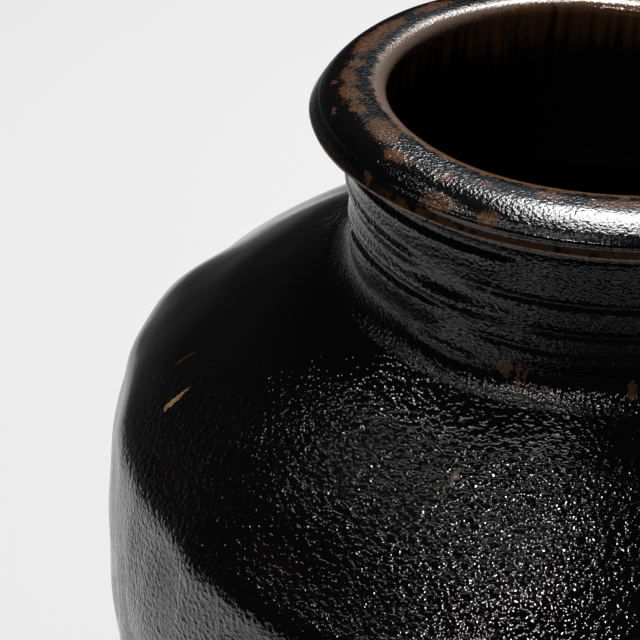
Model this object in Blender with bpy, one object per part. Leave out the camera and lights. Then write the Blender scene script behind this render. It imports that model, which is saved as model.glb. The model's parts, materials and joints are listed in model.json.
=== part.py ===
"""Open stoneware crock for pickling: a flat base, a coil-built body with a soft shoulder corner,
a short throwing-ringed neck and a thick rolled rim. It is made of the sections that the potter
lutes together, each resting on the bevelled edge of the one below. Metres, +Z up, foot on z = 0."""

import math

import bmesh
import bpy
from mathutils import Vector
from mathutils.geometry import interpolate_bezier

# Body, outside
FOOT_RADIUS = 0.100
FOOT_CHAMFER = 0.0025
FOOT_TO_BELLY = 0.131
BELLY_RADIUS = 0.160
BELLY_TO_CORNER = 0.0715
CORNER_SETBACK = 0.0058
CORNER_REACH = 0.007
CORNER_TO_ROOT = 0.0505

# Neck, outside
NECK_RADIUS = 0.0776
ROOT_REACH = 0.0055
ROOT_RISE = 0.0130
NECK_HEIGHT = 0.0365
RING_DEPTH = 0.0007
RING_COUNT = 4

# Rolled rim
RIM_OVERHANG = 0.0124
RIM_EDGE_INSET = 0.0010
RIM_EDGE_HEIGHT = 0.0017
RIM_UNDERSIDE = 0.0065
RIM_DOME = 0.0092
RIM_CREST_SETBACK = 0.0140
LIP_DROP = 0.0028
LIP_OVERHANG = 0.0010

# Walls and the luted seams between the sections
BODY_WALL = 0.0090
NECK_WALL = 0.0106
SLAB_EDGE_HEIGHT = 0.0058
SEAM_BEVEL = 0.0050
SEAM_GAP = 0.0003

# Directions of the outline, in degrees from +X, as it climbs from the foot to the neck
FOOT_ANGLE = 64.0
BELLY_ANGLE = 90.0
WALL_TOP_ANGLE = 98.0
SHOULDER_FOOT_ANGLE = 138.0
SHOULDER_TOP_ANGLE = 153.0
NECK_ANGLE = 90.0

# Directions of the rim's outline, as it runs over the roll from the mouth to the neck
LIP_ANGLE = 82.0
CREST_ANGLE = 0.0
RIM_SIDE_ANGLE = -90.0
RIM_EDGE_ANGLE = -112.0
UNDERSIDE_ANGLE = -168.0

# How far each curve's handles reach, as shares of the straight line between its ends
BODY_HANDLE_SHARE = 0.38
TURN_HANDLE_SHARE = 0.42

# Where the wall's luted seams lie, as shares of the stretch that each one is on
FOOT_SEAM_SHARE = 0.52
BELLY_SEAM_SHARE = 0.12
SHOULDER_SEAM_SHARE = 0.16

# Fineness
SEGMENTS = 64
MERGE_DISTANCE = 0.00001
SHARP_ANGLE = 40.0
DENSE_STEPS = 24
WALL_STEPS = 5
CORNER_STEPS = 8
INNER_STEPS = 4
INNER_CORNER_STEPS = 6
RING_STEPS = 4
RIM_STEPS = 5

RIM_COLOR = (0.030, 0.020, 0.016)
NECK_COLOR = (0.012, 0.011, 0.011)
SHOULDER_COLOR = (0.008, 0.008, 0.009)
WALL_COLOR = (0.010, 0.009, 0.009)
CLAY_COLOR = (0.150, 0.095, 0.062)
GLAZE_ROUGHNESS = 0.16
CLAY_ROUGHNESS = 0.85

# Heights that the rest of the model is placed by
CORNER_Z = FOOT_TO_BELLY + BELLY_TO_CORNER
ROOT_Z = CORNER_Z + CORNER_TO_ROOT
NECK_START_Z = ROOT_Z + ROOT_RISE
NECK_TOP_Z = NECK_START_Z + NECK_HEIGHT
RIM_EDGE_Z = NECK_TOP_Z + RIM_UNDERSIDE
RIM_SIDE_Z = RIM_EDGE_Z + RIM_EDGE_HEIGHT
CREST_Z = RIM_SIDE_Z + RIM_DOME
RIM_RADIUS = NECK_RADIUS + RIM_OVERHANG
MOUTH_RADIUS = NECK_RADIUS - NECK_WALL - LIP_OVERHANG


def clear_scene():
    for obj in list(bpy.data.objects):
        bpy.data.objects.remove(obj, do_unlink=True)


def direction(degrees):
    angle = math.radians(degrees)
    return Vector((math.cos(angle), math.sin(angle), 0.0))


def curve(start, start_angle, end, end_angle, share, steps):
    """Points from start to end on one cubic curve, which leaves and arrives along the two directions."""
    start = Vector((start[0], start[1], 0.0))
    end = Vector((end[0], end[1], 0.0))
    reach = (end - start).length * share
    leaving = start + direction(start_angle) * reach
    arriving = end - direction(end_angle) * reach
    return interpolate_bezier(start, leaving, arriving, end, steps + 1)


class Outline:
    """The vessel's outer line from the foot to the top of the neck, measured along itself."""

    def __init__(self):
        corner = Vector((BELLY_RADIUS - CORNER_SETBACK, CORNER_Z, 0.0))
        wall_top = corner - direction(WALL_TOP_ANGLE) * CORNER_REACH
        shoulder_foot = corner + direction(SHOULDER_FOOT_ANGLE) * CORNER_REACH
        stops = (
            ("foot", (FOOT_RADIUS, 0.0), FOOT_ANGLE, BODY_HANDLE_SHARE),
            ("belly", (BELLY_RADIUS, FOOT_TO_BELLY), BELLY_ANGLE, BODY_HANDLE_SHARE),
            ("wall_top", wall_top, WALL_TOP_ANGLE, TURN_HANDLE_SHARE),
            ("shoulder_foot", shoulder_foot, SHOULDER_FOOT_ANGLE, BODY_HANDLE_SHARE),
            ("root", (NECK_RADIUS + ROOT_REACH, ROOT_Z), SHOULDER_TOP_ANGLE, TURN_HANDLE_SHARE),
            ("neck_start", (NECK_RADIUS, NECK_START_Z), NECK_ANGLE, BODY_HANDLE_SHARE),
            ("neck_top", (NECK_RADIUS, NECK_TOP_Z), NECK_ANGLE, BODY_HANDLE_SHARE),
        )
        self.points = [Vector((stops[0][1][0], stops[0][1][1], 0.0))]
        self.lengths = [0.0]
        self.at = {stops[0][0]: 0.0}
        for here, there in zip(stops, stops[1:]):
            stretch = curve(here[1], here[2], there[1], there[2], here[3], DENSE_STEPS)
            for point in stretch[1:]:
                self.lengths.append(self.lengths[-1] + (point - self.points[-1]).length)
                self.points.append(point)
            self.at[there[0]] = self.lengths[-1]

    def between(self, first, last, share):
        return self.at[first] + (self.at[last] - self.at[first]) * share

    def reaches_height(self, height):
        """How far along the line it first stands at this height."""
        for index in range(1, len(self.points)):
            low, high = self.points[index - 1], self.points[index]
            if high.y >= height:
                share = (height - low.y) / (high.y - low.y)
                return self.lengths[index - 1] + (self.lengths[index] - self.lengths[index - 1]) * share
        return self.lengths[-1]

    def point_and_normal(self, distance):
        last = len(self.points) - 1
        index = 1
        while index < last and self.lengths[index] < distance:
            index += 1
        low, high = self.points[index - 1], self.points[index]
        run = (high - low).normalized()
        return low + run * (distance - self.lengths[index - 1]), Vector((run.y, -run.x, 0.0))

    def outer(self, distance):
        """The outside, with the finger rings that throwing left round the neck."""
        point, normal = self.point_and_normal(distance)
        along = (distance - self.at["neck_start"]) / (self.at["neck_top"] - self.at["neck_start"])
        if 0.0 < along < 1.0:
            ring = (1.0 - math.cos(math.tau * RING_COUNT * along)) / 2.0
            point = point - normal * RING_DEPTH * ring
        return point

    def inner(self, distance):
        """The inside, a wall's thickness in. The wall thickens over the shoulder to the neck's."""
        rise = (distance - self.at["shoulder_foot"]) / (self.at["root"] - self.at["shoulder_foot"])
        rise = max(0.0, min(1.0, rise))
        point, normal = self.point_and_normal(distance)
        return point - normal * (BODY_WALL + (NECK_WALL - BODY_WALL) * rise)


def spread(start, end, steps):
    return [start + (end - start) * index / steps for index in range(steps + 1)]


def turned(name, profile, color, roughness):
    """A solid turned round the Z axis from the points of its half section."""
    sketch = bmesh.new()
    corners = [sketch.verts.new((point.x, 0.0, point.y)) for point in profile]
    edges = [sketch.edges.new(ends) for ends in zip(corners, corners[1:])]
    if profile[0].x > 0.0:
        edges.append(sketch.edges.new((corners[-1], corners[0])))
    bmesh.ops.spin(
        sketch,
        geom=corners + edges,
        axis=(0.0, 0.0, 1.0),
        angle=math.tau,
        steps=SEGMENTS,
        use_merge=True,
    )
    bmesh.ops.remove_doubles(sketch, verts=sketch.verts, dist=MERGE_DISTANCE)
    bmesh.ops.recalc_face_normals(sketch, faces=sketch.faces)
    mesh = bpy.data.meshes.new(name)
    sketch.to_mesh(mesh)
    sketch.free()
    mesh.shade_smooth()
    mesh.set_sharp_from_angle(angle=math.radians(SHARP_ANGLE))
    mesh.materials.append(finish(name, color, roughness))
    obj = bpy.data.objects.new(name, mesh)
    bpy.context.scene.collection.objects.link(obj)
    return obj


def finish(name, color, roughness):
    material = bpy.data.materials.new(name)
    material.use_nodes = True
    shader = material.node_tree.nodes["Principled BSDF"]
    shader.inputs["Base Color"].default_value = (*color, 1.0)
    shader.inputs["Roughness"].default_value = roughness
    shader.inputs["Metallic"].default_value = 0.0
    return material


def section(name, outline, start, end, steps, color):
    """A ring of the wall between two seams. Its ends are bevelled, so it sits on the piece below."""
    low = start + SEAM_GAP / 2.0
    high = end - SEAM_GAP / 2.0
    outer_steps, inner_steps = steps
    outside = [outline.outer(distance) for distance in spread(high, low, outer_steps)]
    inside = [outline.inner(distance + SEAM_BEVEL) for distance in spread(low, high, inner_steps)]
    return turned(name, outside + inside, color, GLAZE_ROUGHNESS)


def base_slab(outline, seam):
    """The flat base. Its top is the crock's floor, and its edge is bevelled to carry the wall."""
    high = seam - SEAM_GAP / 2.0
    edge = outline.inner(high + SEAM_BEVEL)
    chamfer = min(FOOT_CHAMFER, high / 2.0)
    side = [outline.outer(high), outline.outer(chamfer)]
    foot = Vector((FOOT_RADIUS - chamfer, 0.0, 0.0))
    middle_top = Vector((0.0, edge.y, 0.0))
    profile = [middle_top, edge] + side + [foot, Vector((0.0, 0.0, 0.0))]
    return turned("base_slab", profile, CLAY_COLOR, CLAY_ROUGHNESS)


def rim_roll(outline):
    """The thick rolled rim: a domed top, a thin lower edge and an undercut for a tied cover."""
    seam = outline.at["neck_top"] + SEAM_GAP / 2.0
    mouth = outline.inner(seam + SEAM_BEVEL)
    lip = (MOUTH_RADIUS, CREST_Z - LIP_DROP)
    crest = (RIM_RADIUS - RIM_CREST_SETBACK, CREST_Z)
    side = (RIM_RADIUS, RIM_SIDE_Z)
    edge = (RIM_RADIUS - RIM_EDGE_INSET, RIM_EDGE_Z)
    neck = (NECK_RADIUS, NECK_TOP_Z + SEAM_GAP / 2.0)
    profile = curve(lip, LIP_ANGLE, crest, CREST_ANGLE, TURN_HANDLE_SHARE, RIM_STEPS)
    profile += curve(crest, CREST_ANGLE, side, RIM_SIDE_ANGLE, TURN_HANDLE_SHARE, RIM_STEPS)[1:]
    profile += curve(side, RIM_SIDE_ANGLE, edge, RIM_EDGE_ANGLE, TURN_HANDLE_SHARE, 1)[1:]
    profile += curve(edge, UNDERSIDE_ANGLE, neck, RIM_SIDE_ANGLE, TURN_HANDLE_SHARE, RIM_STEPS)[1:]
    profile.append(mouth)
    return turned("rim_roll", profile, RIM_COLOR, GLAZE_ROUGHNESS)


def build():
    clear_scene()
    outline = Outline()
    slab_seam = outline.reaches_height(SLAB_EDGE_HEIGHT)
    foot_seam = outline.between("foot", "belly", FOOT_SEAM_SHARE)
    belly_seam = outline.between("belly", "wall_top", BELLY_SEAM_SHARE)
    shoulder_seam = outline.between("shoulder_foot", "root", SHOULDER_SEAM_SHARE)
    root_seam = outline.at["root"]
    neck_seam = outline.at["neck_top"]
    wall = (WALL_STEPS, INNER_STEPS)
    bend = (CORNER_STEPS, INNER_CORNER_STEPS)
    neck_share = (neck_seam - root_seam) / (neck_seam - outline.at["neck_start"])
    rings = (math.ceil(RING_COUNT * RING_STEPS * neck_share), INNER_CORNER_STEPS)
    base_slab(outline, slab_seam)
    section("foot_wall", outline, slab_seam, foot_seam, wall, WALL_COLOR)
    section("belly_wall", outline, foot_seam, belly_seam, wall, WALL_COLOR)
    section("upper_wall", outline, belly_seam, shoulder_seam, bend, WALL_COLOR)
    section("shoulder", outline, shoulder_seam, root_seam, bend, SHOULDER_COLOR)
    section("neck_collar", outline, root_seam, neck_seam, rings, NECK_COLOR)
    rim_roll(outline)


build()
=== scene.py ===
"""Looks of the open stoneware crock: one finely modelled solid for each luted section, iron-black
glaze that breaks to rust brown where it ran thin, and bare clay under the foot. Metres, +Z up."""

import json
import math

import bpy
import numpy as np
from mathutils import Matrix, Quaternion, Vector, noise
from mathutils.geometry import interpolate_bezier


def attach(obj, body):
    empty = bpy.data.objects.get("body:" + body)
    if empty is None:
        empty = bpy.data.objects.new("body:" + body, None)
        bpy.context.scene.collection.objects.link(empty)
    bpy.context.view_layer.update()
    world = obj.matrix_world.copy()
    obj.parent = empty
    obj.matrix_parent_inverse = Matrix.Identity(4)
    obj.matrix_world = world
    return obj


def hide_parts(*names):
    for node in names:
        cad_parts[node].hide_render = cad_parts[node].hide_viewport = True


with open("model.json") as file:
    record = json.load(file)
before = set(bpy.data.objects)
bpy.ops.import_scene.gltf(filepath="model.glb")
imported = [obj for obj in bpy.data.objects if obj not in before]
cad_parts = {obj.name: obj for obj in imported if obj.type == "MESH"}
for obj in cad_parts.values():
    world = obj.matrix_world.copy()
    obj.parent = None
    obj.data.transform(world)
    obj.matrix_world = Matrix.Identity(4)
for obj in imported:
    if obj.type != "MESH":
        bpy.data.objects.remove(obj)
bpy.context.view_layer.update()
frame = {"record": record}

# Outside of the body and neck, as the frame has them
FOOT_RADIUS = 0.100
FOOT_CHAMFER = 0.0025
FOOT_TO_BELLY = 0.131
BELLY_RADIUS = 0.160
BELLY_TO_CORNER = 0.0715
CORNER_SETBACK = 0.0058
CORNER_REACH = 0.007
CORNER_TO_ROOT = 0.0505
NECK_RADIUS = 0.0776
ROOT_REACH = 0.0055
ROOT_RISE = 0.0130
NECK_HEIGHT = 0.0365

# Rolled rim
RIM_OVERHANG = 0.0124
RIM_EDGE_INSET = 0.0010
RIM_EDGE_HEIGHT = 0.0010
RIM_EDGE_ROUND = 0.0005
RIM_UNDERSIDE = 0.0065
RIM_DOME = 0.0087
RIM_CREST_SETBACK = 0.0135
RIM_BROW_RADIUS = 0.0870
RIM_BROW_HEIGHT = 0.0062
LIP_DROP = 0.0044
LIP_OVERHANG = 0.0010

# Walls and seams
BODY_WALL = 0.0090
NECK_WALL = 0.0106
SLAB_EDGE_HEIGHT = 0.0058
SEAM_BEVEL = 0.0050

# Directions of the outline, in degrees from +X
FOOT_ANGLE = 64.0
BELLY_ANGLE = 90.0
WALL_TOP_ANGLE = 98.0
SHOULDER_FOOT_ANGLE = 138.0
SHOULDER_TOP_ANGLE = 153.0
NECK_ANGLE = 90.0
UNDERSIDE_ANGLE = 12.0
RIM_SIDE_ANGLE = 112.0
RIM_EDGE_ANGLE = 68.0
RIM_BROW_ANGLE = 156.0
CREST_ANGLE = 180.0
LIP_ANGLE = -93.0
BODY_HANDLE_SHARE = 0.38
TURN_HANDLE_SHARE = 0.42

# Where the luted seams lie, as shares of the stretch that each one is on
FOOT_SEAM_SHARE = 0.52
BELLY_SEAM_SHARE = 0.12
SHOULDER_SEAM_SHARE = 0.16

# Fineness of the modelled surface, and the least length that counts
SEGMENTS = 512
TINY = 1e-12
OUTER_SPACING = 0.0022
NECK_SPACING = 0.0005
RIM_SPACING = 0.0004
INNER_SPACING = 0.0035
DENSE_STEPS = 200
FOOT_EDGE_STEPS = 6
RIM_EDGE_STEPS = 12

CORNER_Z = FOOT_TO_BELLY + BELLY_TO_CORNER
ROOT_Z = CORNER_Z + CORNER_TO_ROOT
NECK_START_Z = ROOT_Z + ROOT_RISE
NECK_TOP_Z = NECK_START_Z + NECK_HEIGHT
RIM_EDGE_Z = NECK_TOP_Z + RIM_UNDERSIDE
RIM_SIDE_Z = RIM_EDGE_Z + RIM_EDGE_HEIGHT
CREST_Z = RIM_SIDE_Z + RIM_DOME
RIM_RADIUS = NECK_RADIUS + RIM_OVERHANG
MOUTH_RADIUS = NECK_RADIUS - NECK_WALL - LIP_OVERHANG


def direction(degrees):
    angle = math.radians(degrees)
    return Vector((math.cos(angle), math.sin(angle), 0.0))


def curve(start, start_angle, end, end_angle, share, steps):
    """Points, as radius and height, on one cubic curve that leaves and arrives along two directions."""
    start = Vector((start[0], start[1], 0.0))
    end = Vector((end[0], end[1], 0.0))
    reach = (end - start).length * share
    leaving = start + direction(start_angle) * reach
    arriving = end - direction(end_angle) * reach
    points = interpolate_bezier(start, leaving, arriving, end, steps + 1)
    return np.array([(point.x, point.y) for point in points])


class Outline:
    """The outer line from the foot to the top of the neck, measured along itself."""

    def __init__(self):
        corner = Vector((BELLY_RADIUS - CORNER_SETBACK, CORNER_Z, 0.0))
        wall_top = corner - direction(WALL_TOP_ANGLE) * CORNER_REACH
        shoulder_foot = corner + direction(SHOULDER_FOOT_ANGLE) * CORNER_REACH
        stops = (
            ("foot", (FOOT_RADIUS, 0.0), FOOT_ANGLE, BODY_HANDLE_SHARE),
            ("belly", (BELLY_RADIUS, FOOT_TO_BELLY), BELLY_ANGLE, BODY_HANDLE_SHARE),
            ("wall_top", wall_top, WALL_TOP_ANGLE, TURN_HANDLE_SHARE),
            ("shoulder_foot", shoulder_foot, SHOULDER_FOOT_ANGLE, BODY_HANDLE_SHARE),
            ("root", (NECK_RADIUS + ROOT_REACH, ROOT_Z), SHOULDER_TOP_ANGLE, TURN_HANDLE_SHARE),
            ("neck_start", (NECK_RADIUS, NECK_START_Z), NECK_ANGLE, BODY_HANDLE_SHARE),
            ("neck_top", (NECK_RADIUS, NECK_TOP_Z), NECK_ANGLE, BODY_HANDLE_SHARE),
        )
        pieces = [np.array([[FOOT_RADIUS, 0.0]])]
        self.at = {"foot": 0.0}
        length = 0.0
        for here, there in zip(stops, stops[1:]):
            stretch = curve(here[1], here[2], there[1], there[2], here[3], DENSE_STEPS)
            pieces.append(stretch[1:])
            length += np.linalg.norm(np.diff(stretch, axis=0), axis=1).sum()
            self.at[there[0]] = length
        self.points = np.concatenate(pieces)
        steps = np.linalg.norm(np.diff(self.points, axis=0), axis=1)
        self.lengths = np.concatenate([[0.0], np.cumsum(steps)])
        self.normals = path_normals(self.points)

    def between(self, first, last, share):
        return self.at[first] + (self.at[last] - self.at[first]) * share

    def reaches_height(self, height):
        return float(np.interp(height, self.points[:, 1], self.lengths))

    def outer(self, lengths):
        return np.stack([np.interp(lengths, self.lengths, self.points[:, axis]) for axis in (0, 1)], 1)

    def inner(self, lengths):
        """The inside, a wall's thickness in. The wall thickens over the shoulder to the neck's."""
        rise = (lengths - self.at["shoulder_foot"]) / (self.at["root"] - self.at["shoulder_foot"])
        wall = BODY_WALL + (NECK_WALL - BODY_WALL) * np.clip(rise, 0.0, 1.0)
        facing = [np.interp(lengths, self.lengths, self.normals[:, axis]) for axis in (0, 1)]
        beyond = np.maximum(lengths - self.lengths[-1], 0.0)
        points = self.outer(lengths) + np.stack([beyond * 0.0, beyond], 1)
        return points - np.stack(facing, 1) * wall[:, None]


def path_normals(points):
    """Unit normals, to the right of the way the path runs."""
    run = np.gradient(points, axis=0)
    run /= np.maximum(np.linalg.norm(run, axis=1), TINY)[:, None]
    return np.stack([run[:, 1], -run[:, 0]], 1)


def spread(start, end, spacing):
    steps = max(2, math.ceil(abs(end - start) / spacing))
    return np.linspace(start, end, steps + 1)


def evened(points, spacing):
    """The same line with its points an even spacing apart."""
    steps = np.linalg.norm(np.diff(points, axis=0), axis=1)
    lengths = np.concatenate([[0.0], np.cumsum(steps)])
    stations = spread(0.0, lengths[-1], spacing)
    return np.stack([np.interp(stations, lengths, points[:, axis]) for axis in (0, 1)], 1)


# Irregularities that the potter's hands left
SWELL_DEPTH = 0.0006
SWELL_NECK_LOSS_SHARE = 0.8
DENT_DEPTH = 0.0011
DENT_SIZE = 0.050
KNOCK_DEPTH = 0.00045
KNOCK_SIZE = 0.021
FLUTE_DEPTH = 0.0005
FLUTE_SIZE = 0.011
FLUTE_STRETCH = 0.35
FLUTE_TOP = 0.2040
FLUTE_FADE = 0.0080
RING_DEPTH = 0.00045
RING_WIDTH = 0.0026
RING_WANDER = 0.0022
RING_HEIGHTS = (0.2615, 0.2675, 0.2726, 0.2785, 0.2870, 0.2959)
RING_GAP_MIDDLE = -145.0
RING_GAP_REACH = 45.0
RING_SEED_STEP = 1.7
RING_WANDER_PACE = 0.9
RING_STRENGTH = 0.75
RING_STRENGTH_SWING = 0.6
RING_STRENGTH_PACE = 1.3
RING_STRENGTH_SHIFT = (5.0, 0.0, 0.0)
RIDGE_FADE = 9.0
NECK_LEAN = 0.0018
LEAN_LOW_Z = 0.2620
LEAN_HIGH_Z = 0.2975
LEAN_FADE = 25.0
FLARE_DEPTH = 0.0015
FLARE_Z = 0.2960
FLARE_FADE = 0.0030
RIM_WAVE_DEPTH = 0.0003
RIM_WAVE_SIZE = 0.030
RIM_FLAT_DEPTH = 0.0019
RIM_FLAT_MIDDLE = -40.0
RIM_FLAT_REACH = 15.0
RIM_FLAT_FADE = 50.0
FOOT_FADE = 0.030

# The body's ovalness, as waves: the share of the depth, how many times round, and the phase in radians
SWELL_WAVES = (
    (0.6, 2.0, 1.1),
    (0.4, 3.0, 4.0),
)

# Ridges and grooves left on the neck: the direction of the middle and the reach to each side, both in
# degrees, the height at the middle, the rise in a degree, how far it stands out, and its width below
# and above
NECK_RIDGES = (
    (-137.0, 24.0, 0.2968, -0.000012, 0.00180, 0.0065, 0.0014),
    (-121.0, 17.0, 0.2872, 0.000060, 0.00127, 0.0030, 0.0018),
    (-131.0, 21.0, 0.2776, 0.000005, 0.00120, 0.0018, 0.0030),
    (-155.0, 7.0, 0.2785, 0.000020, 0.00075, 0.0030, 0.0025),
    (-130.0, 16.0, 0.2728, -0.000015, 0.00143, 0.0065, 0.0012),
    (-117.0, 4.0, 0.2670, 0.0, 0.00090, 0.0040, 0.0040),
    (-151.0, 4.0, 0.2611, 0.0, 0.00068, 0.0015, 0.0015),
    (-160.0, 5.0, 0.2625, 0.0, 0.00090, 0.0050, 0.0045),
    (-182.0, 22.0, 0.2856, 0.000010, -0.00068, 0.0010, 0.0016),
    (-190.0, 14.0, 0.2752, 0.000010, -0.00068, 0.0010, 0.0018),
    (-168.0, 5.0, 0.2690, 0.0, -0.00052, 0.0010, 0.0014),
    (-190.0, 16.0, 0.2665, 0.0, 0.00090, 0.0050, 0.0030),
)

# Ridges and hollows of the rim: the direction of the middle and the reach to each side, the angle about
# the middle of the roll and the reach to each side, all in degrees, and how far it stands out
ROLL_MIDDLE = (0.078, 0.309)
RIM_RIDGES = (
    (-105.0, 38.0, 30.0, 16.0, -0.0016),
    (-184.0, 24.0, 24.0, 5.0, 0.0008),
    (10.0, 50.0, 30.0, 12.0, -0.0005),
)

# Broad bulges and hollows of the body: the direction of the middle, the reach round, the height of the
# middle, the reach up and down, and how far it stands out
BODY_BULGES = (
    (-80.0, 10.0, 0.2110, 0.0120, 0.0026),
    (-69.0, 6.0, 0.2080, 0.0110, -0.0021),
    (-101.0, 6.0, 0.2005, 0.0060, -0.0018),
    (-110.0, 13.0, 0.1760, 0.0160, 0.0003),
    (-54.0, 10.0, 0.2280, 0.0090, -0.0003),
    (-131.5, 3.0, 0.1900, 0.0150, -0.0008),
    (-136.5, 2.4, 0.1800, 0.0220, 0.0008),
    (-160.0, 20.0, 0.2020, 0.0080, 0.0020),
)

# The photograph's camera
CAMERA_PLACE = (0.0, -0.4720, 0.5390)
CAMERA_YAW = 10.43
CAMERA_PITCH = 33.68
CAMERA_ROLL = 0.94
CAMERA_VIEW = 22.0

# Studio. The band and the faint ground beyond it are a painted pool of light that the camera never sees,
# with painted shade elsewhere. A pair for the band or the faint ground beyond it says where it starts and
# where it is full
PALE_TONE = 0.85
PAINTED_SHADE_TONE = 0.03
BAND_WAY = (-0.35, 0.94, 0.0)
BAND_NEAR = (-0.46, -0.32)
BAND_FAR = (0.98, 0.80)
BAND_LEFT = (-0.95, -0.72)
FAINT_NEAR = (0.55, 0.90)
FAINT_FAR = (2.60, 1.40)
FAINT_SHARE = 0.17
FLOOR_GLOW_SHARE = 0.65
FLOOR_RADIUS = 2.6
BACKDROP_HEIGHT = 0.55
BACKDROP_ROUND = 0.5
BACKDROP_STEPS = 16
BACKDROP_SIDES = 128
STUDIO_DIM = 0.015
KEY_AIM = (0.0, 0.0, 0.30)
KEY_PLACE = (0.10, 0.75, 1.60)
KEY_SIZE = (0.56, 0.95)
KEY_RADIANCE = 16.5
FILL_PLACE = (-0.12, -0.92, 1.54)
FILL_SIZE = (0.17, 0.17)
FILL_RADIANCE = 46.0
STRIP_PLACE = (-0.34, -0.33, 1.72)
STRIP_SIZE = (1.00, 0.07)
STRIP_RADIANCE = 4.5
STRIP_TURN = 45.0
SIDE_PLACE = (-0.98, -0.04, 1.56)
SIDE_SIZE = (0.13, 0.13)
SIDE_RADIANCE = 15.0
BACK_PLACE = (0.18, 1.28, 1.25)
BACK_SIZE = (1.10, 0.45)
BACK_RADIANCE = 0.6
BACK_COLOUR = (0.80, 0.90, 1.00)
WHITE = (1.0, 1.0, 1.0)

WALL_NODES = ("foot_wall", "belly_wall", "upper_wall", "shoulder", "neck_collar")

# Glaze colours, as linear light
BLACK_GLAZE = (0.0032, 0.0030, 0.0033)
BROWN_BLACK_GLAZE = (0.006, 0.0045, 0.004)
RUST = (0.120, 0.050, 0.018)
DARK_RUST = (0.050, 0.022, 0.010)
EDGE_BROWN = (0.060, 0.028, 0.014)
# Tan of the worn edge, made light enough to be a painted highlight of the thin edge as well
TAN_EDGE_AND_PAINTED_HIGHLIGHT = (0.340, 0.235, 0.180)
TAUPE = (0.165, 0.110, 0.080)
PALE_TAN = (0.300, 0.205, 0.140)
OCHRE = (0.360, 0.215, 0.085)
INSIDE_BROWN = (0.150, 0.066, 0.030)
INSIDE_BLACK = (0.005, 0.004, 0.004)
CLAY = (0.150, 0.095, 0.062)
CLAY_DARK = (0.085, 0.052, 0.034)
GLAZE_IOR = 1.6
CLAY_IOR = 1.5

# Detail of the random patterns
PLAIN_DETAIL = 2.0
FINE_DETAIL = 3.0
CLAY_DETAIL = 4.0

# How the looks change from place to place. A pair of heights, radii, angles, levels or fades says where a
# change starts and where it ends, and a pair of depths or roughnesses holds the values before and after it.
# A pair for ragged edges holds the size of the push and how far it goes. Angles are in degrees
SPOT_FADE = (1.15, 0.75)
PATCH_FADE = (1.70, 0.50)
PEEL_SLOW_SHARE = 2.5
CALM_FROM = -116.0
CALM_TO = 10.0
CALM_FADE = 13.0
CALM_STRENGTH = 0.09

# Glaze of the three wall sections, down to its edge above the bare foot
WALL_PIT_SIZE = 0.0009
WALL_SLOW_SIZE = 0.0018
WALL_PEEL_HEIGHTS = (0.206, 0.192)
WALL_PEEL_DEPTHS = (0.00013, 0.00034)
WALL_CALM_HEIGHTS = (0.203, 0.160)
WALL_ROUGHNESSES = (0.17, 0.07)
CLOUD_SCALE = 40.0
CLOUD_LEVELS = (0.45, 0.75)
GLAZE_EDGE_SCALE = 30.0
GLAZE_EDGE_WANDER = -0.014
BARE_HEIGHTS = (0.0065, 0.0055)
FRINGE_HEIGHTS = (0.0100, 0.0065)
BARE_ROUGHNESS = 0.75

# Glaze of the shoulder
SHOULDER_PIT_SIZE = 0.0010
SHOULDER_SLOW_SIZE = 0.0020
SHOULDER_PEEL_RADII = (0.093, 0.101)
SHOULDER_PEEL_DEPTHS = (0.00007, 0.00015)
SHOULDER_CALM_RADII = (0.100, 0.088)
SHOULDER_ROUGHNESSES = (0.17, 0.06)
SHOULDER_SPOT_ROUGHNESS = 0.25
SHOULDER_RAGGED = (0.0020, 0.0030)
SCAR_RAGGED = (0.0012, 0.0020)

# Glaze of the neck, and the brown streaks down its inside
NECK_PIT_SIZE = 0.0006
NECK_SLOW_SIZE = 0.0013
NECK_PEEL_DEPTH = 0.00010
NECK_ROUGHNESS = 0.08
NECK_SPOT_ROUGHNESS = 0.3
NECK_RAGGED = (0.0020, 0.0040)
NECK_INSIDE_SHARES = (0.4, 0.6)
STREAK_WIDTH = 0.004
STREAK_LENGTH = 0.05
STREAK_REACH = 0.035
STREAK_HEIGHTS = (0.317, 0.340)

# Glaze of the rim
RIM_PIT_SIZE = 0.0006
RIM_SLOW_SIZE = 0.0010
RIM_LEFT_ANGLES = (-140.0, -124.0)
RIM_LEFT_DEPTHS = (0.00006, 0.00004)
RIM_FRONT_ANGLES = (-148.0, -160.0)
RIM_FRONT_DEPTH = 0.000035
RIM_GLOSS_ANGLES = (-150.0, -157.0)
RIM_ROUGHNESSES = (0.12, 0.13)
LIP_ROUGHNESS = 0.25
RUST_ROUGHNESS = 0.16
RIM_RAGGED = (0.0025, 0.0050)
GRIT_WIDTH = 0.0009
GRIT_LENGTH = 0.0014
GRIT_SHARE = 2.0
BLOTCH_WIDTH = 0.0038
BLOTCH_LENGTH = 0.0045
BLOTCH_SHARE = 1.4
RUST_LEVELS = (2.12, 2.45)
DARK_RUST_LEVELS = (0.35, 0.65)

# Brown lower edge of the rim, and the tan line along it, partly worn glaze and partly a painted highlight:
# low, high and fade of each band about the roll
EDGE_BAND = (-3.0, 17.0, 3.0)
EDGE_ANGLES = (-136.0, -146.0)
EDGE_LEVELS = (0.35, 0.50)
TAN_LINE_AND_HIGHLIGHT_BAND = (2.5, 6.5, 1.0)
LINE_LEVELS = (0.30, 0.45)

# Taupe lip, as angles about the roll. It ends deepest in the mouth at one direction round the jar
LIP_START = (124.0, 133.0)
LIP_DEEPEST_ANGLE = -70.0
LIP_DEEPEST_END = 168.0
LIP_LEAST_END = 127.0
LIP_END_SLOPE = 0.5
LIP_END_FADE = (-3.0, 4.0)
LIP_END_STREAK = 30.0
INSIDE_START = (122.0, 126.0)

# Bare clay
CLAY_CLOUD_SCALE = 90.0
CLAY_CLOUD_LEVELS = (0.35, 0.65)
CLAY_GRIT_SCALE = 1500.0
CLAY_GRIT_DEPTH = 0.0003
CLAY_ROUGHNESS = 0.8

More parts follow.
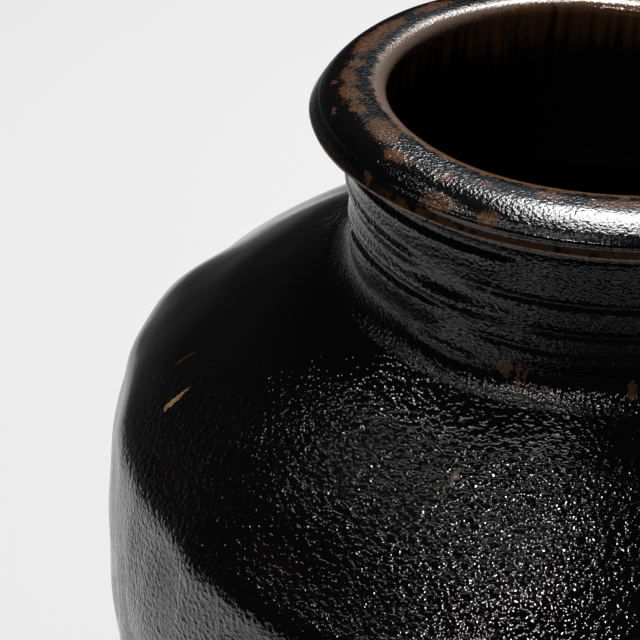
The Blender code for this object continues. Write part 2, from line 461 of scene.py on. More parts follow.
# Spots where the glaze ran thin: direction round the jar in degrees clockwise from +Y seen from above,
# radius, height, slope of the surface there in degrees above level, and the spot's width and length
SPOT_DEPTH = 0.006
SHOULDER_SPOTS = (
    (-164.5, 0.1062, 0.2401, 58.0, 0.0030, 0.0040),
    (-164.0, 0.1080, 0.2391, 58.0, 0.0012, 0.0036),
)
SHOULDER_CORES = (
    (-164.7, 0.1057, 0.2404, 58.0, 0.0015, 0.0026),
)
SCAR_SPOTS = (
    (-114.1, 0.1358, 0.2190, 50.0, 0.0013, 0.0060),
    (-114.6, 0.1380, 0.2168, 50.0, 0.0009, 0.0050),
)
SCAR_ENDS = (
    (-114.3, 0.1368, 0.2180, 50.0, 0.0019, 0.0135),
    (-106.9, 0.1313, 0.2224, 50.0, 0.0009, 0.0055),
)
NECK_SPOTS = (
    (-166.6, 0.0779, 0.2610, 8.0, 0.0045, 0.0060),
    (-169.8, 0.0789, 0.2590, 27.0, 0.0016, 0.0080),
    (-171.2, 0.0789, 0.2600, 20.0, 0.0009, 0.0050),
    (-148.9, 0.0776, 0.2721, 0.0, 0.0018, 0.0030),
    (-161.4, 0.0776, 0.2852, 0.0, 0.0024, 0.0024),
    (165.6, 0.0782, 0.2589, 15.0, 0.0030, 0.0050),
)

# Thin patches on the rim: from and to, in degrees round the jar clockwise from +Y seen from above, and
# from and to, in degrees about the middle of the roll, where 0 faces out, 90 up and 180 into the mouth
RIM_RUST = (
    (-165.0, -161.0, 20.0, 42.0),
    (-156.0, -149.0, 16.0, 50.0),
    (-136.5, -134.5, 13.0, 27.0),
    (-194.0, -180.0, 92.0, 116.0),
    (-175.0, -169.0, 100.0, 122.0),
    (-160.5, -153.0, 92.0, 105.0),
    (-152.0, -148.5, 72.0, 100.0),
    (-141.0, -134.0, 62.0, 92.0),
    (-133.0, -121.0, 82.0, 124.0),
    (-118.0, -110.0, 80.0, 104.0),
    (-111.0, -103.0, 74.0, 106.0),
    (-103.0, -94.0, 76.0, 107.0),
    (-93.5, -88.0, 82.0, 115.0),
    (-86.0, -72.0, 76.0, 114.0),
    (-74.0, -61.0, 84.0, 116.0),
    (-114.5, -111.5, 48.0, 58.0),
    (-101.5, -99.0, 58.0, 70.0),
    (-57.0, -44.0, 84.0, 112.0),
    (-36.0, -22.0, 88.0, 110.0),
    (-12.0, 6.0, 80.0, 108.0),
    (21.0, 33.0, 92.0, 118.0),
    (52.0, 66.0, 84.0, 106.0),
    (-222.0, -209.0, 84.0, 110.0),
    (-247.0, -238.0, 94.0, 118.0),
    (-262.0, -255.0, 72.0, 98.0),
)


def smooth(low, high, values):
    share = np.clip((values - low) / (high - low), 0.0, 1.0)
    return share * share * (3.0 - 2.0 * share)


class Skin:
    """The vessel's whole surface as one grid. Rows run from the middle of the foot up the outside,
    over the rim and down the inside to the middle of the floor. Each row goes once round."""

    def __init__(self):
        outline = Outline()
        seams = {
            "slab": outline.reaches_height(SLAB_EDGE_HEIGHT),
            "foot": outline.between("foot", "belly", FOOT_SEAM_SHARE),
            "belly": outline.between("belly", "wall_top", BELLY_SEAM_SHARE),
            "shoulder": outline.between("shoulder_foot", "root", SHOULDER_SEAM_SHARE),
            "root": outline.at["root"],
            "neck": outline.at["neck_top"],
        }
        self.stretches = [np.array([[0.0, 0.0]])]
        self.outer_row = {}
        self.inner_row = {}
        self.add_outside(outline, seams)
        self.add(rim_line(outline))
        self.add_inside(outline, seams)
        self.path = np.concatenate(self.stretches)
        self.shape()

    def add(self, points):
        self.stretches.append(points[1:])

    def rows(self):
        return sum(len(points) for points in self.stretches)

    def add_outside(self, outline, seams):
        edge = (FOOT_RADIUS - FOOT_CHAMFER, 0.0)
        above = outline.outer(np.array([FOOT_CHAMFER]))[0]
        self.add(evened(np.array([(0.0, 0.0), edge]), INNER_SPACING))
        self.add(curve(edge, 0.0, above, FOOT_ANGLE, TURN_HANDLE_SHARE, FOOT_EDGE_STEPS))
        low = FOOT_CHAMFER
        for name, high in seams.items():
            spacing = NECK_SPACING if name == "neck" else OUTER_SPACING
            self.add(outline.outer(spread(low, high, spacing)))
            self.outer_row[name] = self.rows() - 1
            low = high

    def add_inside(self, outline, seams):
        names = list(seams)[::-1]
        for upper, lower in zip(names, names[1:]):
            self.inner_row[upper] = self.rows() - 1
            self.add(outline.inner(spread(seams[upper], seams[lower], INNER_SPACING) + SEAM_BEVEL))
        self.inner_row["slab"] = self.rows() - 1
        last = self.stretches[-1][-1]
        self.add(evened(np.array([last, (0.0, last[1])]), INNER_SPACING))

    def shape(self):
        """Places every point, with the hand-made unevenness, and finds the smooth normals."""
        normals = path_normals(self.path)
        angle = np.linspace(0.0, math.tau, SEGMENTS, endpoint=False)
        base = turn(self.path, angle)
        facing = turn(normals, angle)
        self.points = base + facing * self.relief(base, angle)[..., None]
        level = turn(np.stack([np.ones(len(self.path)), np.zeros(len(self.path))], 1), angle)
        sideways = swell(self.path[:, 1], angle) + flattened(self.path, angle)
        self.points += level * sideways[..., None]
        across = np.roll(self.points, -1, 1) - np.roll(self.points, 1, 1)
        along = np.gradient(self.points, axis=0)
        found = np.cross(across, along)
        length = np.linalg.norm(found, axis=2)[..., None]
        self.normals = np.where(length > TINY, found / np.maximum(length, TINY), facing)

    def relief(self, base, angle):
        """How far each point stands out from the turned line."""
        radius, height = self.path.T
        rows = np.arange(len(height))
        outside = rows <= self.outer_row["neck"]
        rim = (rows > self.outer_row["neck"]) & (rows < self.inner_row["neck"])
        under = rim & (radius >= NECK_RADIUS) & (height < RIM_EDGE_Z)
        body = smooth(FOOT_CHAMFER, FOOT_FADE, height)
        body = body * (1.0 - smooth(ROOT_Z, NECK_START_Z, height)) * outside
        roll = rim * smooth(RIM_EDGE_Z, RIM_SIDE_Z, height)
        depth = scatter(base, body, DENT_DEPTH, DENT_SIZE) + scatter(base, body, KNOCK_DEPTH, KNOCK_SIZE)
        depth += scatter(base, roll, RIM_WAVE_DEPTH, RIM_WAVE_SIZE)
        wall = body * (1.0 - smooth(FLUTE_TOP - FLUTE_FADE, FLUTE_TOP, height))
        depth += scatter(base * (1.0, 1.0, FLUTE_STRETCH), wall, FLUTE_DEPTH, FLUTE_SIZE)
        depth += bulges(height, body, angle)
        depth += leaning(height, outside, angle)
        flare = np.clip((height * outside - FLARE_Z) / (NECK_TOP_Z - FLARE_Z), 0.0, 1.0)
        depth += FLARE_DEPTH * (flare * flare)[:, None]
        depth += FLARE_DEPTH * (under * smooth(NECK_RADIUS + FLARE_FADE, NECK_RADIUS, radius))[:, None]
        depth += rim_ridges(radius, height, roll, angle)
        return depth + finger_rings(height, outside, angle) + ridges(height, outside, angle)


def turn(profile, angle):
    """The (radius, height) rows of a profile carried round the axis."""
    columns = np.ones(len(angle))
    return np.stack([
        profile[:, 0, None] * np.cos(angle)[None],
        profile[:, 0, None] * np.sin(angle)[None],
        profile[:, 1, None] * columns[None],
    ], 2)


def swell(height, angle):
    """The body's slight ovalness, none at the foot and little at the rim."""
    body = smooth(FOOT_CHAMFER, FOOT_FADE, height)
    body = body * (1.0 - SWELL_NECK_LOSS_SHARE * smooth(CORNER_Z, ROOT_Z, height))
    oval = sum(share * np.sin(times * angle + phase) for share, times, phase in SWELL_WAVES)
    return SWELL_DEPTH * body[:, None] * oval[None]


def flattened(path, angle):
    """The stretch at the back left where the rim was pressed in."""
    radius, height = path.T
    roll = smooth(NECK_RADIUS, RIM_BROW_RADIUS, radius) * (height > NECK_TOP_Z)
    away = np.abs(turned_from(RIM_FLAT_MIDDLE, angle))
    pressed = 1.0 - smooth(RIM_FLAT_REACH, RIM_FLAT_REACH + RIM_FLAT_FADE, away)
    return -RIM_FLAT_DEPTH * roll[:, None] * pressed[None]


def turned_from(azimuth, angle):
    """Degrees clockwise, seen from above, from one direction to each angle of the grid."""
    return (90.0 - np.degrees(angle) - azimuth + 180.0) % 360.0 - 180.0


def bulges(height, body, angle):
    depth = np.zeros((len(height), SEGMENTS))
    for azimuth, reach, middle, rise, out in BODY_BULGES:
        level = body * np.exp(-((height - middle) / rise) ** 2)
        depth += out * level[:, None] * np.exp(-(turned_from(azimuth, angle) / reach) ** 2)[None]
    return depth


def rim_ridges(radius, height, roll, angle):
    depth = np.zeros((len(height), SEGMENTS))
    about = np.degrees(np.arctan2(height - ROLL_MIDDLE[1], radius - ROLL_MIDDLE[0]))
    for azimuth, reach, middle, width, out in RIM_RIDGES:
        level = roll * np.exp(-((about - middle) / width) ** 2)
        share = 1.0 - smooth(reach, reach + LEAN_FADE, np.abs(turned_from(azimuth, angle)))
        depth += out * level[:, None] * share[None]
    return depth


def leaning(height, outside, angle):
    """The neck draws in a little towards its foot over the stretch with the strong ridges."""
    low = outside * smooth(ROOT_Z, LEAN_LOW_Z, height)
    rise = np.clip((height - LEAN_LOW_Z) / (LEAN_HIGH_Z - LEAN_LOW_Z), 0.0, 1.0)
    away = np.abs(turned_from(RING_GAP_MIDDLE, angle))
    share = 1.0 - smooth(RING_GAP_REACH, RING_GAP_REACH + LEAN_FADE, away)
    return -NECK_LEAN * (low * (1.0 - rise))[:, None] * share[None]


def ridges(height, outside, angle):
    depth = np.zeros((len(height), SEGMENTS))
    neck = outside & (height > ROOT_Z)
    for azimuth, reach, middle, rise, out, below, above in NECK_RIDGES:
        away = turned_from(azimuth, angle)
        strength = 1.0 - smooth(reach, reach + RIDGE_FADE, np.abs(away))
        offset = height[:, None] - middle - rise * away[None]
        width = np.where(offset < 0.0, below, above)
        depth += out * neck[:, None] * strength[None] * np.exp(-(offset / width) ** 2)
    return depth


def scatter(base, share, depth, size):
    """Smooth random relief of one size, where each row's share is above zero."""
    found = np.zeros(base.shape[:2])
    for row in np.nonzero(share > 0.0)[0]:
        for column in range(SEGMENTS):
            found[row, column] = share[row] * depth * noise.noise(Vector(base[row, column]) / size)
    return found


def finger_rings(height, outside, angle):
    """The rings that throwing left round the neck, uneven in depth and wandering up and down."""
    depth = np.zeros((len(height), SEGMENTS))
    rows = np.nonzero(outside & (height > ROOT_Z) & (height <= NECK_TOP_Z))[0]
    away = np.abs(turned_from(RING_GAP_MIDDLE, angle))
    gap = smooth(RING_GAP_REACH, RING_GAP_REACH + RIDGE_FADE, away)
    for index, middle in enumerate(RING_HEIGHTS):
        for column in range(SEGMENTS):
            place = Vector((math.cos(angle[column]), math.sin(angle[column]), index * RING_SEED_STEP))
            wander = RING_WANDER * noise.noise(place * RING_WANDER_PACE)
            swing = noise.noise(place * RING_STRENGTH_PACE + Vector(RING_STRENGTH_SHIFT))
            strength = gap[column] * (RING_STRENGTH + RING_STRENGTH_SWING * swing)
            offset = (height[rows] - middle - wander) / RING_WIDTH
            depth[rows, column] += RING_DEPTH * strength * np.exp(-offset * offset)
    return depth


def rim_line(outline):
    """The roll's section, from the neck out under it, round the thin edge, over the dome and into
    the mouth."""
    neck = (NECK_RADIUS, NECK_TOP_Z)
    under = (RIM_RADIUS - RIM_EDGE_INSET - RIM_EDGE_ROUND, RIM_EDGE_Z)
    edge = (RIM_RADIUS - RIM_EDGE_INSET, RIM_EDGE_Z + RIM_EDGE_ROUND)
    side = (RIM_RADIUS, RIM_SIDE_Z)
    brow = (RIM_BROW_RADIUS, RIM_SIDE_Z + RIM_BROW_HEIGHT)
    crest = (RIM_RADIUS - RIM_CREST_SETBACK, CREST_Z)
    lip = (MOUTH_RADIUS, CREST_Z - LIP_DROP)
    mouth = outline.inner(np.array([outline.at["neck_top"] + SEAM_BEVEL]))[0]
    share = TURN_HANDLE_SHARE
    hollow = curve(neck, NECK_ANGLE, under, UNDERSIDE_ANGLE, share, DENSE_STEPS)
    turned_edge = curve(under, UNDERSIDE_ANGLE, edge, RIM_EDGE_ANGLE, share, RIM_EDGE_STEPS)
    wall = curve(edge, RIM_EDGE_ANGLE, side, RIM_SIDE_ANGLE, share, RIM_EDGE_STEPS)
    dome = np.concatenate([
        curve(side, RIM_SIDE_ANGLE, brow, RIM_BROW_ANGLE, share, DENSE_STEPS),
        curve(brow, RIM_BROW_ANGLE, crest, CREST_ANGLE, share, DENSE_STEPS)[1:],
        curve(crest, CREST_ANGLE, lip, LIP_ANGLE, share, DENSE_STEPS)[1:],
        np.linspace(lip, mouth, RIM_EDGE_STEPS)[1:],
    ])
    return np.concatenate([
        evened(hollow, RIM_SPACING),
        turned_edge[1:],
        wall[1:],
        evened(dome, RIM_SPACING)[1:],
    ])


def solid(name, skin, rows, closed):
    """A closed piece from rows of the skin, in the order given, with the skin's own smooth normals."""
    pole = [skin.path[row, 0] == 0.0 for row in rows]
    points = []
    normals = []
    rings = []
    for row, single in zip(rows, pole):
        taken = 1 if single else SEGMENTS
        first = len(points)
        points.extend(skin.points[row, :taken].tolist())
        normals.extend(skin.normals[row, :taken].tolist())
        rings.append([first + (0 if single else column) for column in range(SEGMENTS)])
    pairs = list(zip(rings, rings[1:]))
    if closed:
        pairs.append((rings[-1], rings[0]))
    faces = []
    for low, high in pairs:
        for column in range(SEGMENTS):
            after = (column + 1) % SEGMENTS
            corners = (low[column], low[after], high[after], high[column])
            faces.append(tuple(dict.fromkeys(corners)))
    mesh = bpy.data.meshes.new(name)
    mesh.from_pydata(points, [], faces)
    mesh.shade_smooth()
    mesh.normals_split_custom_set_from_vertices(normals)
    obj = bpy.data.objects.new(name, mesh)
    bpy.context.scene.collection.objects.link(obj)
    return obj


def sections(skin):
    """The seven luted sections, each in its node's place."""
    last = len(skin.path) - 1
    outer = skin.outer_row
    inner = skin.inner_row
    slab_rows = [*range(0, outer["slab"] + 1), *range(inner["slab"], last + 1)]
    rim_rows = list(range(outer["neck"], inner["neck"] + 1))
    made = {
        "base_slab": solid("slab_of_clay", skin, slab_rows, False),
        "rim_roll": solid("rolled_rim", skin, rim_rows, True),
    }
    names = list(outer)
    for node, low, high in zip(WALL_NODES, names, names[1:]):
        rows = [*range(outer[low], outer[high] + 1), *range(inner[high], inner[low] + 1)]
        made[node] = solid("glazed_" + node, skin, rows, True)
    return made


class Finish:
    """A material under construction, with short calls that add a shader node and link what feeds it."""

    def __init__(self, name):
        self.material = bpy.data.materials.new(name)
        self.material.use_nodes = True
        self.tree = self.material.node_tree
        self.tree.nodes.clear()

    def add(self, kind, inputs=None, output=0, **settings):
        made = self.tree.nodes.new("ShaderNode" + kind)
        for key, value in settings.items():
            setattr(made, key, value)
        for key, value in (inputs or {}).items():
            socket = made.inputs[key]
            if isinstance(value, bpy.types.NodeSocket):
                self.tree.links.new(value, socket)
            else:
                socket.default_value = value
        return made.outputs[output]

    def math(self, operation, first, second=0.0):
        return self.add("Math", {0: first, 1: second}, operation=operation)

    def vector(self, operation, first, second=(0.0, 0.0, 0.0)):
        return self.add("VectorMath", {0: first, 1: second}, operation=operation)

    def place(self):
        return self.add("TexCoord", output="Object")

    def noise(self, vector, scale, detail, output=0):
        return self.add("TexNoise", {"Vector": vector, "Scale": scale, "Detail": detail}, output=output)

    def ramp(self, value, low, high):
        return self.add("MapRange", {"Value": value, "From Min": low, "From Max": high},
                        interpolation_type="SMOOTHSTEP")

    def mix(self, share, first, second):
        inputs = {0: share, 6: colour(first), 7: colour(second)}
        return self.add("Mix", inputs, output=2, data_type="RGBA")

    def blend(self, share, first, second):
        return self.add("Mix", {0: share, 2: first, 3: second}, data_type="FLOAT")

    def most(self, values):
        found = values[0]
        for value in values[1:]:
            found = self.math("MAXIMUM", found, value)
        return found

    def bump(self, height, distance):
        return self.add("Bump", {"Height": height, "Distance": distance, "Strength": 1.0})

    def surface(self, base, roughness, normal, ior):
        shader = self.add("BsdfPrincipled", {
            "Base Color": base, "Roughness": roughness, "Normal": normal, "IOR": ior})
        self.add_output(shader)
        return self.material

    def add_output(self, shader):
        output = self.tree.nodes.new("ShaderNodeOutputMaterial")
        self.tree.links.new(shader, output.inputs["Surface"])


def colour(value):
    return (*value, 1.0) if isinstance(value, tuple) else value


def ragged(finish, place, size, amount):
    """The coordinates pushed about at random, so that what is drawn with them has uneven edges."""
    push = finish.noise(place, 1.0 / size, FINE_DETAIL, output=1)
    centred = finish.vector("SUBTRACT", push, (0.5, 0.5, 0.5))
    return finish.vector("ADD", place, finish.vector("MULTIPLY", centred, (amount, amount, amount)))


def spot(finish, place, azimuth, radius, height, slope, width, length):
    """1 inside an oval spot on the surface and 0 outside it."""
    round_way = math.radians(azimuth)
    tilt = math.radians(slope)
    level = Vector((math.sin(round_way), math.cos(round_way), 0.0))
    outward = level * math.cos(tilt) + Vector((0.0, 0.0, math.sin(tilt)))
    across = Vector((math.cos(round_way), -math.sin(round_way), 0.0))
    up_slope = outward.cross(across)
    turned = Matrix((across, outward, up_slope)).transposed().to_euler()
    local = finish.add("Mapping", {
        "Vector": place,
        "Location": (level.x * radius, level.y * radius, height),
        "Rotation": turned,
        "Scale": (width / 2.0, SPOT_DEPTH, length / 2.0),
    }, vector_type="TEXTURE")
    away = finish.add("VectorMath", {0: local}, output=1, operation="LENGTH")
    return finish.ramp(away, *SPOT_FADE)


def spots(finish, place, table):
    return finish.most([spot(finish, place, *row) for row in table])


def height_of(finish, place):
    return finish.add("SeparateXYZ", {0: place}, output=2)


def radius_of(finish, place):
    level = finish.vector("MULTIPLY", place, (1.0, 1.0, 0.0))
    return finish.add("VectorMath", {0: level}, output=1, operation="LENGTH")


def azimuth_of(finish, place):
    """Degrees round the jar, clockwise from +Y seen from above, from -270 to 90."""
    level = finish.add("SeparateXYZ", {0: place}).node
    turned = finish.math("ARCTAN2", level.outputs[1], finish.math("MULTIPLY", level.outputs[0], -1.0))
    return finish.math("SUBTRACT", finish.math("DEGREES", turned), 90.0)


def roll_angle_of(finish, place):
    """Degrees about the middle of the rolled rim: 0 faces out, 90 up, 180 into the mouth, 270 down."""
    inward = finish.math("SUBTRACT", ROLL_MIDDLE[0], radius_of(finish, place))
    up = finish.math("SUBTRACT", height_of(finish, place), ROLL_MIDDLE[1])
    return finish.math("ADD", finish.math("DEGREES", finish.math("ARCTAN2", inward, up)), 90.0)


def patches(finish, around, about, table):
    """1 inside any oval patch of the table and 0 outside them."""
    place = finish.add("CombineXYZ", {0: around, 1: about})
    found = []
    for start, end, low, high in table:
        local = finish.add("Mapping", {
            "Vector": place,
            "Location": ((start + end) / 2.0, (low + high) / 2.0, 0.0),
            "Scale": ((end - start) / 2.0, (high - low) / 2.0, 1.0),
        }, vector_type="TEXTURE")
        away = finish.add("VectorMath", {0: local}, output=1, operation="LENGTH")
        found.append(finish.ramp(away, *PATCH_FADE))
    return finish.most(found)


def band(finish, value, low, high, fade):
    """1 between two values and 0 beyond them."""
    rise = finish.ramp(value, low - fade, low + fade)
    return finish.math("MULTIPLY", rise, finish.ramp(value, high + fade, high - fade))


def flowing(finish, place, around, along):
    """Coordinates that follow the wall: one unit is `around` metres round it, at the rim's radius, and
    `along` metres up or out."""
    level = finish.vector("MULTIPLY", place, (1.0, 1.0, 0.0))
    unit = finish.vector("NORMALIZE", level)
    fine = finish.vector("MULTIPLY", unit, (RIM_RADIUS / around, RIM_RADIUS / around, 0.0))
    radius = finish.add("VectorMath", {0: level}, output=1, operation="LENGTH")
    run = finish.math("SUBTRACT", height_of(finish, place), radius)
    rise = finish.add("CombineXYZ", {2: finish.math("DIVIDE", run, along)})
    return finish.vector("ADD", fine, rise)


def steady(finish, place):
    """How strong the peel is: full in front, and little at the left and behind."""
    calm = band(finish, azimuth_of(finish, place), CALM_FROM, CALM_TO, CALM_FADE)
    return finish.blend(calm, 1.0, CALM_STRENGTH)


def pitted(finish, place, size, slow_size, depth):
    """Orange peel of round pits side by side, on slower unevenness."""
    away = finish.add("TexVoronoi", {"Vector": place, "Scale": 1.0 / size})
    slow = finish.math("MULTIPLY", finish.noise(place, 1.0 / slow_size, 0.0), PEEL_SLOW_SHARE)
    height = finish.math("ADD", finish.math("POWER", away, 2.0), slow)
    return finish.bump(height, depth)


def wall_glaze():
    finish = Finish("wall_glaze")
    place = finish.place()
    height = height_of(finish, place)
    depth = finish.blend(finish.ramp(height, *WALL_PEEL_HEIGHTS), *WALL_PEEL_DEPTHS)
    strength = finish.math("MAXIMUM", steady(finish, place), finish.ramp(height, *WALL_CALM_HEIGHTS))
    glossy = finish.blend(strength, *WALL_ROUGHNESSES)
    depth = finish.math("MULTIPLY", depth, strength)
    normal = pitted(finish, place, WALL_PIT_SIZE, WALL_SLOW_SIZE, depth)
    cloud = finish.noise(place, CLOUD_SCALE, FINE_DETAIL)
    base = finish.mix(finish.ramp(cloud, *CLOUD_LEVELS), BLACK_GLAZE, BROWN_BLACK_GLAZE)
    wander = finish.math("MULTIPLY", finish.noise(place, GLAZE_EDGE_SCALE, FINE_DETAIL), GLAZE_EDGE_WANDER)
    edge = finish.math("ADD", height, wander)
    bare = finish.ramp(edge, *BARE_HEIGHTS)
    base = finish.mix(bare, base, clay_colour(finish, place))
    glazed = finish.math("SUBTRACT", 1.0, bare)
    fringe = finish.math("MULTIPLY", finish.ramp(edge, *FRINGE_HEIGHTS), glazed)
    base = finish.mix(fringe, base, DARK_RUST)
    roughness = finish.blend(bare, glossy, BARE_ROUGHNESS)
    return finish.surface(base, roughness, normal, GLAZE_IOR)


def shoulder_glaze():
    finish = Finish("shoulder_glaze")
    place = finish.place()
    radius = radius_of(finish, place)
    depth = finish.blend(finish.ramp(radius, *SHOULDER_PEEL_RADII), *SHOULDER_PEEL_DEPTHS)
    strength = finish.most([steady(finish, place), finish.ramp(radius, *SHOULDER_CALM_RADII)])
    depth = finish.math("MULTIPLY", depth, strength)
    normal = pitted(finish, place, SHOULDER_PIT_SIZE, SHOULDER_SLOW_SIZE, depth)
    uneven = ragged(finish, place, *SHOULDER_RAGGED)
    thin = spots(finish, uneven, SHOULDER_SPOTS)
    base = finish.mix(thin, BLACK_GLAZE, DARK_RUST)
    base = finish.mix(spots(finish, uneven, SHOULDER_CORES), base, PALE_TAN)
    base = scar(finish, place, base)
    glossy = finish.blend(strength, *SHOULDER_ROUGHNESSES)
    roughness = finish.blend(thin, glossy, SHOULDER_SPOT_ROUGHNESS)
    return finish.surface(base, roughness, normal, GLAZE_IOR)


def scar(finish, place, base):
    """A narrow chip down the slope, bare to the ochre body, with dark ends."""
    uneven = ragged(finish, place, *SCAR_RAGGED)
    base = finish.mix(spots(finish, uneven, SCAR_ENDS), base, DARK_RUST)
    return finish.mix(spots(finish, uneven, SCAR_SPOTS), base, OCHRE)


def neck_glaze():
    finish = Finish("neck_glaze")
    place = finish.place()
    normal = pitted(finish, place, NECK_PIT_SIZE, NECK_SLOW_SIZE, NECK_PEEL_DEPTH)
    thin = spots(finish, ragged(finish, place, *NECK_RAGGED), NECK_SPOTS)
    base = finish.mix(thin, BLACK_GLAZE, RUST)
    roughness = finish.blend(thin, NECK_ROUGHNESS, NECK_SPOT_ROUGHNESS)
    radii = [NECK_RADIUS - NECK_WALL * share for share in NECK_INSIDE_SHARES]
    inside = finish.ramp(radius_of(finish, place), *radii)
    base = finish.mix(inside, base, inside_colour(finish, place))
    return finish.surface(base, roughness, normal, GLAZE_IOR)


def inside_colour(finish, place):
    """Black below, with brown streaks that run down from the lip."""
    streak = finish.noise(flowing(finish, place, STREAK_WIDTH, STREAK_LENGTH), 1.0, FINE_DETAIL)
    level = finish.math("ADD", height_of(finish, place), finish.math("MULTIPLY", streak, STREAK_REACH))
    return finish.mix(finish.ramp(level, *STREAK_HEIGHTS), INSIDE_BLACK, INSIDE_BROWN)


def rim_glaze():
    finish = Finish("rim_glaze")
    place = finish.place()
    uneven = ragged(finish, place, *RIM_RAGGED)
    around = azimuth_of(finish, uneven)
    about = roll_angle_of(finish, uneven)
    grit = finish.noise(flowing(finish, place, GRIT_WIDTH, GRIT_LENGTH), 1.0, PLAIN_DETAIL)
    blotch = finish.noise(flowing(finish, place, BLOTCH_WIDTH, BLOTCH_LENGTH), 1.0, PLAIN_DETAIL)
    rust = thin_on_rim(finish, patches(finish, around, about, RIM_RUST), grit, blotch)
    rust_tone = finish.mix(finish.ramp(grit, *DARK_RUST_LEVELS), RUST, DARK_RUST)
    base = finish.mix(rust, BLACK_GLAZE, rust_tone)
    base = rim_edge(finish, roll_angle_of(finish, place), around, grit, blotch, base)
    lip, inside = lip_and_inside(finish, around, about, grit)
    base = finish.mix(lip, base, TAUPE)
    base = finish.mix(inside, base, inside_colour(finish, place))
    glossy = finish.blend(finish.ramp(around, *RIM_GLOSS_ANGLES), *RIM_ROUGHNESSES)
    roughness = finish.blend(rust, finish.blend(lip, glossy, LIP_ROUGHNESS), RUST_ROUGHNESS)
    left = finish.blend(finish.ramp(around, *RIM_LEFT_ANGLES), *RIM_LEFT_DEPTHS)
    depth = finish.blend(finish.ramp(around, *RIM_FRONT_ANGLES), left, RIM_FRONT_DEPTH)
    normal = pitted(finish, place, RIM_PIT_SIZE, RIM_SLOW_SIZE, depth)
    return finish.surface(base, roughness, normal, GLAZE_IOR)


def thin_on_rim(finish, patch, grit, blotch):
    """1 where the glaze ran thin over the rim. The patches break up into specks and blots."""
    thin = finish.math("ADD", patch, finish.math("MULTIPLY", grit, GRIT_SHARE))
    thin = finish.math("ADD", thin, finish.math("MULTIPLY", blotch, BLOTCH_SHARE))
    return finish.ramp(thin, *RUST_LEVELS)


def rim_edge(finish, exact, around, grit, blotch, base):
    """The brown lower edge of the rim in front, and the tan line along the whole edge, partly worn glaze
    and partly a painted highlight.
    """
    edge = finish.math("MULTIPLY", band(finish, exact, *EDGE_BAND), finish.ramp(around, *EDGE_ANGLES))
    edge = finish.math("MULTIPLY", edge, finish.ramp(blotch, *EDGE_LEVELS))
    base = finish.mix(edge, base, EDGE_BROWN)
    # The tan line is partly worn glaze and partly a painted highlight along the thin edge
    line = finish.math("MULTIPLY", band(finish, exact, *TAN_LINE_AND_HIGHLIGHT_BAND), finish.ramp(grit, *LINE_LEVELS))
    return finish.mix(line, base, TAN_EDGE_AND_PAINTED_HIGHLIGHT)


def lip_and_inside(finish, around, about, grit):
    """Two masks: the taupe lip, and the mouth beyond its streaked end."""
    away = finish.math("ABSOLUTE", finish.math("SUBTRACT", around, LIP_DEEPEST_ANGLE))
    end = finish.math("SUBTRACT", LIP_DEEPEST_END, finish.math("MULTIPLY", away, LIP_END_SLOPE))
    end = finish.math("MAXIMUM", end, LIP_LEAST_END)
    past = finish.math("SUBTRACT", about, end)
    streaked = finish.math("MULTIPLY", finish.math("SUBTRACT", grit, 0.5), LIP_END_STREAK)
    inside = finish.ramp(finish.math("ADD", past, streaked), *LIP_END_FADE)
    before = finish.math("SUBTRACT", 1.0, inside)
    lip = finish.math("MULTIPLY", finish.ramp(about, *LIP_START), before)
    return lip, finish.math("MULTIPLY", inside, finish.ramp(about, *INSIDE_START))


def clay_colour(finish, place):
    cloud = finish.noise(place, CLAY_CLOUD_SCALE, CLAY_DETAIL)
    return finish.mix(finish.ramp(cloud, *CLAY_CLOUD_LEVELS), CLAY_DARK, CLAY)


def bare_clay():
    finish = Finish("bare_clay")
    place = finish.place()
    grit = finish.noise(place, CLAY_GRIT_SCALE, FINE_DETAIL)
    normal = finish.bump(grit, CLAY_GRIT_DEPTH)
    return finish.surface(clay_colour(finish, place), CLAY_ROUGHNESS, normal, CLAY_IOR)


def backdrop_look():
    """Pale to the camera everywhere. What the glaze mirrors of it is a painted pool of light and painted
    shade: pale in a broad band that lies under the jar and behind it, faint further back, and dim
    elsewhere."""
    finish = Finish("pale_backdrop")
    place = finish.place()
    away = finish.add("VectorMath", {0: place, 1: BAND_WAY}, output=1, operation="DOT_PRODUCT")
    # Painted pool of light and painted shade: apart from what the camera sees, the floor is pale only in
    # the band and faint ground, dim elsewhere
    pale = finish.math("MULTIPLY", finish.ramp(away, *BAND_NEAR), finish.ramp(away, *BAND_FAR))
    sideways = finish.add("SeparateXYZ", {0: place}, output=0)
    pale = finish.math("MULTIPLY", pale, finish.ramp(sideways, *BAND_LEFT))
    faint = finish.math("MULTIPLY", finish.ramp(away, *FAINT_NEAR), finish.ramp(away, *FAINT_FAR))
    faint = finish.math("MULTIPLY", faint, FAINT_SHARE)
    pale = finish.most([pale, faint, finish.add("LightPath", output="Is Camera Ray")])
    tone = finish.mix(pale, (PAINTED_SHADE_TONE,) * 3, (PALE_TONE,) * 3)
    lit = finish.add("BsdfDiffuse", {"Color": tone})
    glow = finish.add("Emission", {"Color": tone, "Strength": 1.0})
    rays = ("Is Camera Ray", "Is Glossy Ray", "Is Transmission Ray")
    seen = finish.most([finish.add("LightPath", output=name) for name in rays])
    share = finish.math("MULTIPLY", seen, FLOOR_GLOW_SHARE)
    finish.add_output(finish.add("MixShader", {0: share, 1: lit, 2: glow}))
    return finish.material


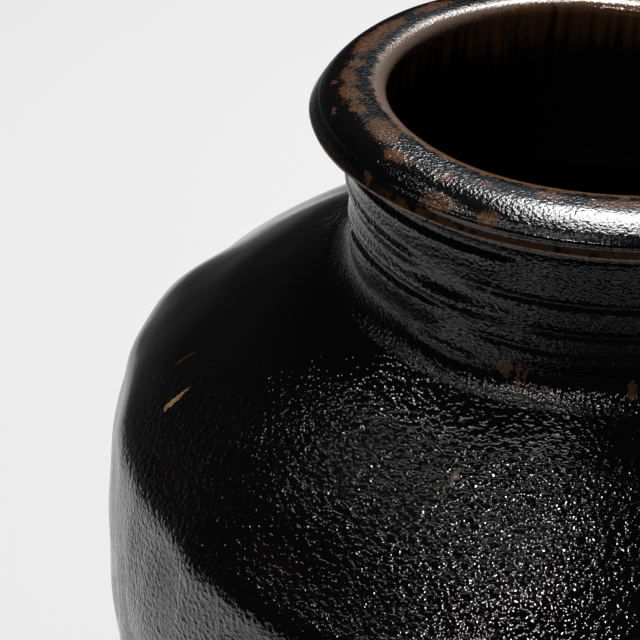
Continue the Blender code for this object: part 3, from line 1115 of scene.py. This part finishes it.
def backdrop():
    """A round pale floor that curves up into a low wall all the way round."""
    corner = FLOOR_RADIUS - BACKDROP_ROUND
    line = [(0.0, 0.0), (corner, 0.0)]
    for step in range(1, BACKDROP_STEPS + 1):
        turned = math.radians(90.0 * step / BACKDROP_STEPS)
        out = corner + BACKDROP_ROUND * math.sin(turned)
        line.append((out, BACKDROP_ROUND * (1.0 - math.cos(turned))))
    line.append((FLOOR_RADIUS, BACKDROP_HEIGHT))
    angle = np.linspace(0.0, math.tau, BACKDROP_SIDES, endpoint=False)
    grid = turn(np.array(line), angle)
    faces = []
    for row in range(len(line) - 1):
        for column in range(BACKDROP_SIDES):
            after = (column + 1) % BACKDROP_SIDES
            low = row * BACKDROP_SIDES
            high = low + BACKDROP_SIDES
            faces.append((low + column, low + after, high + after, high + column))
    mesh = bpy.data.meshes.new("backdrop")
    mesh.from_pydata(grid.reshape(-1, 3).tolist(), [], faces)
    mesh.shade_smooth()
    obj = bpy.data.objects.new("backdrop", mesh)
    bpy.context.scene.collection.objects.link(obj)
    obj.data.materials.append(backdrop_look())


def softbox(name, place, size, radiance, spin=0.0, tint=WHITE):
    light = bpy.data.lights.new(name, "AREA")
    light.shape = "RECTANGLE"
    light.color = tint
    light.size = size[0]
    light.size_y = size[1]
    light.energy = radiance * size[0] * size[1] * math.pi
    obj = bpy.data.objects.new(name, light)
    bpy.context.scene.collection.objects.link(obj)
    obj.location = place
    aim = (Vector(KEY_AIM) - Vector(place)).to_track_quat("-Z", "Y")
    obj.rotation_euler = (aim @ Quaternion((0.0, 0.0, 1.0), math.radians(spin))).to_euler()


def camera():
    yaw = math.radians(CAMERA_YAW)
    pitch = math.radians(CAMERA_PITCH)
    roll = math.radians(CAMERA_ROLL)
    run = math.cos(pitch)
    forward = Vector((-math.sin(yaw) * run, math.cos(yaw) * run, -math.sin(pitch)))
    level = Vector((math.cos(yaw), math.sin(yaw), 0.0))
    upright = level.cross(forward)
    right = level * math.cos(roll) + upright * math.sin(roll)
    above = upright * math.cos(roll) - level * math.sin(roll)
    data = bpy.data.cameras.new("photo_camera")
    data.sensor_fit = "HORIZONTAL"
    data.angle = math.radians(CAMERA_VIEW)
    obj = bpy.data.objects.new("photo_camera", data)
    bpy.context.scene.collection.objects.link(obj)
    turned = Matrix((right, above, -forward)).transposed().to_4x4()
    obj.matrix_world = Matrix.Translation(CAMERA_PLACE) @ turned
    bpy.context.scene.camera = obj


def dim_studio():
    world = bpy.data.worlds.new("dim_studio")
    world.use_nodes = True
    background = world.node_tree.nodes["Background"]
    background.inputs["Color"].default_value = (STUDIO_DIM, STUDIO_DIM, STUDIO_DIM, 1.0)
    bpy.context.scene.world = world


def dress():
    looks = {
        "bare_clay": bare_clay(),
        "wall_glaze": wall_glaze(),
        "shoulder_glaze": shoulder_glaze(),
        "neck_glaze": neck_glaze(),
        "rim_glaze": rim_glaze(),
    }
    slots = {row["node"]: row["material_slot"] for row in frame["record"]["subparts"]}
    for node, piece in sections(Skin()).items():
        piece.data.materials.append(looks[slots[node]])
        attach(piece, "root")
        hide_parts(node)


camera()
dress()
backdrop()
softbox("key_softbox", KEY_PLACE, KEY_SIZE, KEY_RADIANCE)
softbox("fill_softbox", FILL_PLACE, FILL_SIZE, FILL_RADIANCE)
softbox("strip_softbox", STRIP_PLACE, STRIP_SIZE, STRIP_RADIANCE, STRIP_TURN)
softbox("side_softbox", SIDE_PLACE, SIDE_SIZE, SIDE_RADIANCE)
softbox("back_softbox", BACK_PLACE, BACK_SIZE, BACK_RADIANCE, tint=BACK_COLOUR)
dim_studio()
bpy.context.scene.view_settings.view_transform = "Standard"
